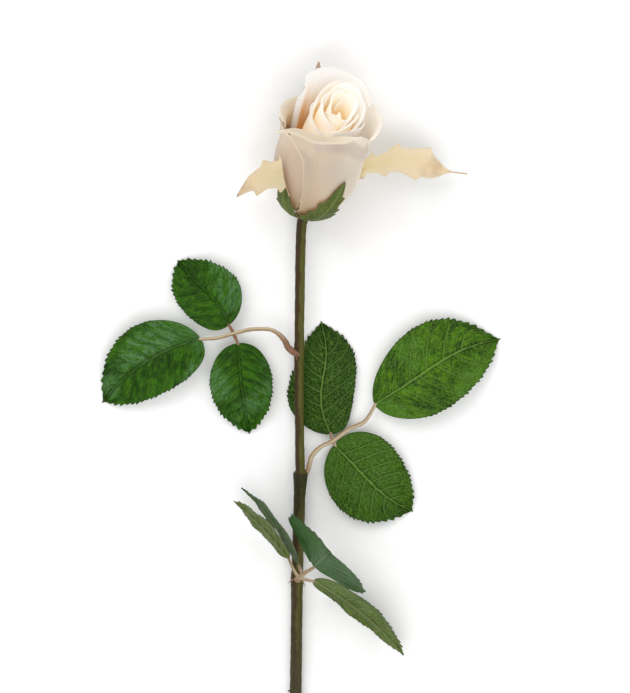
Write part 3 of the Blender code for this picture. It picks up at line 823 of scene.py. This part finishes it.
def hugging(angle, top, turned=0.0, clearance=SEPAL_CLEARANCE):
    """The part of a sepal's path that lies against the cup, up to a height."""
    path = [(-1.0, 5.6, angle)]
    for share in (0.1, 0.25, 0.5, 1.0):
        height = top * share
        lower = 1.5 * (1 - float(smooth(height / BASE_HEIGHT)))
        path.append((height - lower, float(cup_radius(height)) + clearance, angle + turned * share))
    return path


def make_sepals():
    green = leaf_skin("sepal_green")
    rim = leaf_skin("sepal_edge")
    usual = (green, petal_skin("sepal_beige"), rim)
    left = hugging(125, 26.0) + [(29.5, 28.2, 128), (25.0, 32.0, 141), (15.0, 35.5, 158),
                                 (2.5, 38.5, 170)]
    right = hugging(337, 30.0, 5.0, 2.1) + [(36.0, 33.5, 345), (40.0, 43.0, 345), (40.5, 56.0, 345),
                                            (38.0, 70.0, 345), (38.0, 84.0, 345)]
    back = hugging(247, 36.0) + [(45.0, 28.5, 248), (54.0, 31.5, 247), (66.0, 32.5, 249),
                                 (77.0, 31.5, 247)]
    sepal("sepal_front", hugging(66, 34.0, -19), 8.6, usual, 1, hook=1.0)
    sepal("sepal_left", left, 7.4, usual, 2, twist=60, widest=1.5, teeth=3.2, foot=4.5)
    sepal("sepal_right", right, 7.2, usual, 3, twist=-62, widest=2.7, teeth=3.0,
          foot=1.0, thread=0.82)
    sepal("sepal_back", back, 5.6, (green, petal_skin("sepal_tan"), rim), 4, hook=-1.2,
          widest=1.2, teeth=3.0)
    sepal("sepal_right_back", hugging(296, 34.0), 5.8, usual, 5)


# ---------------- stem, stalks and hip

# The rings that round off an end: their size and how far out they stand, as shares of its radius.
END_RINGS = ((0.94, 0.12), (0.7, 0.22), (0.35, 0.28))
# The most rings that a cross stalk, a hair or a thorn has.
SIDE_RINGS = 48


def sweep(points, rings, sides, swell):
    """Rings of a round body along points with a radius each; swell(share, turn) changes the radius."""
    share = np.linspace(0, 1, rings)
    line = on_curve(points, share)
    centre, radius = line[:, :3], line[:, 3]
    ahead = np.gradient(centre, axis=0)
    ahead /= np.linalg.norm(ahead, axis=1, keepdims=True)
    first = np.cross(np.cross(ahead[0], (1.0, 0.13, 0.21)), ahead[0])
    frames = []
    for direction in ahead:
        first = first - direction * first.dot(direction)
        first = first / np.linalg.norm(first)
        frames.append((first, np.cross(direction, first)))
    one = np.array([a for a, b in frames])
    two = np.array([b for a, b in frames])
    turn = np.linspace(0, 2 * np.pi, sides, endpoint=False)
    size = radius[:, None] + swell(share[:, None], turn[None, :])
    body = (centre[:, None, :] + (size * np.cos(turn))[..., None] * one[:, None, :]
            + (size * np.sin(turn))[..., None] * two[:, None, :])
    length = np.concatenate([[0], np.cumsum(np.linalg.norm(np.diff(centre, axis=0), axis=1))])
    return body, turn, length


def evenly(points, count):
    """The same line with evenly spaced points."""
    points = np.array(points, float)
    length = np.concatenate([[0], np.cumsum(np.linalg.norm(np.diff(points[:, :3], axis=0), axis=1))])
    wanted = np.linspace(0, length[-1], count)
    return np.stack([np.interp(wanted, length, column) for column in points.T], axis=1)


def rounded_end(ring, inner_ring):
    """The rings that close a swept body, from its last ring outwards."""
    centre = ring.mean(axis=0)
    out = centre - inner_ring.mean(axis=0)
    out = out / np.linalg.norm(out) * np.linalg.norm(ring[0] - centre)
    return [centre + (ring - centre) * size + out * reach for size, reach in END_RINGS]


def no_swell(share, turn):
    return 0 * share * turn


def nowhere(length):
    return 0 * length


def fading(strength, end, soft):
    """A share of colour that fades out towards a length."""
    return lambda length: strength * smooth((end - length) / soft)


def tube(name, paths, look, rings, sides, swell=no_swell, old=nowhere, dusk=nowhere):
    """One piece from one or more swept paths, each with rounded closed ends."""
    vertices, faces, turns, lengths = [], [], [], []
    count = 0
    for path in paths:
        body, turn, length = sweep(path, rings, sides, swell)
        start = rounded_end(body[0], body[1])
        end = rounded_end(body[-1], body[-2])
        stack = np.array(start[::-1] + list(body) + end)
        index, following = ring_faces(len(stack), sides, count)
        quads = np.stack([index[:-1], following[:-1], following[1:], index[1:]], -1).reshape(-1, 4)
        faces += quads.tolist()
        faces.append(index[0, ::-1].tolist())
        faces.append(index[-1].tolist())
        vertices.append(stack.reshape(-1, 3))
        grown = np.concatenate([[length[0]] * len(start), length, [length[-1]] * len(end)])
        turns.append(np.tile(turn, len(stack)))
        lengths.append(np.repeat(grown, sides))
        count += len(stack) * sides
        rings = min(rings, SIDE_RINGS)
    turns = np.concatenate(turns)
    lengths = np.concatenate(lengths)
    values = {"aside": np.cos(turns), "around": np.sin(turns), "length": lengths, "old": old(lengths),
              "dusk": dusk(lengths), "along": lengths * 0.03, "across": np.sin(turns)}
    round_piece(name, np.concatenate(vertices), faces, look, values)


def make_stem():
    look = bark_look("stem_bark", left=(60, 44, 18), right=(84, 82, 30), low=(62, 56, 32), rough=0.45)

    def swell(share, turn):
        fibres = 0.07 * np.sin(turn * 9 + 3 * np.sin(share * 40)) + 0.05 * np.sin(turn * 17 + share * 90)
        lumps = 0.08 * np.sin(share * 260 + 2 * np.cos(turn)) * np.sin(share * 71)
        return fibres + lumps

    def sleeve(length):
        """The dark sleeve, which ends at the collar."""
        return 0.8 * smooth((176.0 - length) / 1.5) * smooth((length - 138) / 34)

    slimmer = [(x, y, z - STEM_LOWER * r, STEM_SLIM * r) for x, y, z, r in STEM]
    thorn = [(-4.4, 0.6, 5.2, 0.9), (-5.6, 0.3, 5.3, 0.45), (-6.7, 0.0, 5.4, 0.15)]
    tube("stem", [evenly(slimmer, 180), thorn], look, rings=700, sides=56, swell=swell,
         old=fading(1, 130, 90), dusk=sleeve)


def make_hip():
    """The green bulge under the flower, from a profile of radii and heights, with five soft ribs."""
    profile = [(0.0, 1.6), (2.0, 1.6), (3.4, 1.3), (4.6, 0.5), (5.0, -0.6), (4.7, -1.6), (4.2, -2.3),
               (3.8, -3.0), (0, -3.1)]
    rows = 60
    sides = 64
    turn = np.linspace(0, 2 * np.pi, sides, endpoint=False)
    line = on_curve(profile, np.linspace(0, 1, rows))
    ribs = 1 + 0.035 * np.cos(turn * 5) + 0.012 * np.cos(turn * 15)
    radius = np.maximum(line[:, 0], 0.02)[:, None] * ribs
    height = line[:, 1][:, None] + 0 * turn
    body = in_flower(turn + 0 * radius, radius, height)
    index, following = ring_faces(rows, sides)
    faces = np.stack([index[1:], following[1:], following[:-1], index[:-1]], -1).reshape(-1, 4).tolist()
    values = {"along": height * 0.02 + 0.2, "across": np.cos(turn), "stripe": height, "wide": 12,
              "long": 30}
    round_piece("hip", body.reshape(-1, 3), faces, leaf_skin("hip_skin"), values)


def stalk(name, paths, look, old):
    """A leaf's stalk with its cross stalks and hairs, browner where it leaves the stem."""

    def swell(share, turn):
        return 0.05 * np.sin(turn * 5 + 2 * np.sin(share * 30)) + 0.05 * np.sin(share * 120)

    tube(name, paths, look, rings=120, sides=24, swell=swell, old=old)


def make_stalks():
    look = bark_look("petiole_skin", left=(160, 136, 104), right=(196, 180, 150), low=(124, 84, 62),
                     rough=0.5, fibre=0.25)
    left = [
        (-0.6, 185.2, 12.4, 1.3), (-3.6, 187.0, 12.0, 1.9), (-6.6, 189.6, 11.6, 1.8),
        (-9.2, 194.3, 11.4, 1.5), (-15.5, 199.0, 11.2, 1.1), (-26.0, 199.5, 10.4, 1.1),
        (-38.0, 196.8, 9.4, 1.05), (-46.0, 194.6, 8.6, 1.0), (-55.6, 194.0, 7.6, 0.8)]
    left_cross = [
        (-39.6, 202.4, 8.9, 0.7), (-37.2, 198.5, 9.3, 0.9), (-36.6, 196.9, 9.4, 1.0),
        (-35.4, 194.5, 9.2, 0.9), (-34.0, 190.9, 8.7, 0.7)]
    left_hair = [(-3.2, 188.2, 13.6, 0.5), (-2.4, 185.2, 14.2, 0.4), (-1.6, 182.4, 13.9, 0.16)]
    right = [
        (3.4, 119.5, 8.2, 1.3), (4.95, 124.0, 8.2, 1.3), (6.5, 129.5, 7.8, 1.3), (11.0, 134.3, 6.9, 1.2),
        (18.6, 138.4, 5.6, 1.15), (27.5, 144.7, 5.2, 1.1), (36.0, 149.0, 5.5, 1.1),
        (41.8, 158.6, 5.9, 0.8)]
    right_cross = [
        (16.9, 142.6, 4.0, 0.7), (17.6, 139.9, 4.9, 0.9), (18.6, 138.5, 5.5, 1.0),
        (18.6, 137.4, 5.5, 0.9), (19.6, 135.0, 5.2, 0.7)]
    lower = [
        (-1.3, 61.8, 9.6, 1.9), (-1.0, 62.6, 14.0, 1.3), (0.0, 63.6, 18.0, 1.2), (2.6, 65.6, 25.0, 1.1),
        (8.4, 69.5, 32.4, 0.8)]
    lower_cross = [
        [(-6.6, 74.4, 18.8, 0.6), (-3.0, 66.4, 18.2, 0.8), (-0.3, 63.3, 17.2, 1.0),
         (3.0, 61.9, 16.7, 0.9), (8.6, 60.8, 15.9, 0.7)],
        [(-0.9, 70.8, 28.3, 0.7), (0.4, 67.2, 25.0, 0.9), (1.6, 65.0, 20.8, 1.0)]]
    lower_hairs = [
        [(-2.4, 61.8, 9.8, 0.35), (-4.6, 61.3, 9.6, 0.25), (-6.6, 59.6, 9.4, 0.12)],
        [(0.4, 61.6, 12.6, 0.35), (1.8, 60.2, 12.8, 0.25), (2.9, 57.8, 12.6, 0.12)]]
    stalk("petiole_left", [left, left_cross, left_hair], look, fading(0.9, 22, 14))
    stalk("petiole_right", [right, right_cross], look, fading(0.5, 10, 8))
    stalk("petiole_lower", [lower, *lower_cross, *lower_hairs], look, fading(0.5, 8, 6))


# ---------------- stage

WORLD_STRENGTH = 0.8
# The lamps' names, places, sizes and powers, in metres and watts.
LAMPS = [("key", (-0.7, 1.0, 1.3), 1.2, 8.0), ("front", (0.1, -0.8, 1.6), 1.5, 10.0)]


def make_floor():
    """A plain pale sheet of paper."""
    look = Look("floor_paper", Roughness=0.9, Specular_IOR_Level=0.1)
    grain = look.rescale(look.noise(look.place(), 60.0), 0.3, 0.7)
    look.done(look.mix(grain, (0.93, 0.93, 0.93), (0.96, 0.96, 0.96)))
    mesh = bpy.data.meshes.new("floor")
    mesh.from_pydata([(-6, -6, 0), (6, -6, 0), (6, 6, 0), (-6, 6, 0)], [], [(0, 1, 2, 3)])
    mesh.materials.append(look.material)
    floor = add_object("floor", mesh)


def make_light():
    """A white world and two soft round lamps that point at the rose."""
    world = bpy.data.worlds.new("studio")
    world.use_nodes = True
    background = world.node_tree.nodes["Background"]
    background.inputs["Color"].default_value = (1.0, 1.0, 1.0, 1.0)
    background.inputs["Strength"].default_value = WORLD_STRENGTH
    bpy.context.scene.world = world
    for title, place, size, power in LAMPS:
        data = bpy.data.lights.new(title, "AREA")
        data.shape = "DISK"
        data.size = size
        data.energy = power
        lamp = add_object(title, data)
        lamp.location = place
        lamp.rotation_euler = (-Vector(place)).to_track_quat("-Z", "Y").to_euler()


def make_camera():
    """Straight above the rose, so far away that the view is almost parallel; the centre is in millimetres."""
    distance = 4.2
    rose_middle = 0.015
    view_height = 0.38115
    sensor = 36.0
    centre_x, centre_y = 8.25, 190.0
    data = bpy.data.cameras.new("camera")
    data.type = "PERSP"
    data.sensor_width = sensor
    data.lens = sensor * (distance - rose_middle) / view_height
    data.clip_end = 50.0
    camera = add_object("camera", data)
    camera.location = ((centre_x + ORIGIN[0]) * MM, (centre_y + ORIGIN[1]) * MM, distance)
    bpy.context.scene.camera = camera


make_stem()
make_hip()
make_stalks()
make_leaves()
make_flower()
make_sepals()
make_floor()
make_light()
make_camera()
bpy.context.scene.view_settings.view_transform = "Standard"
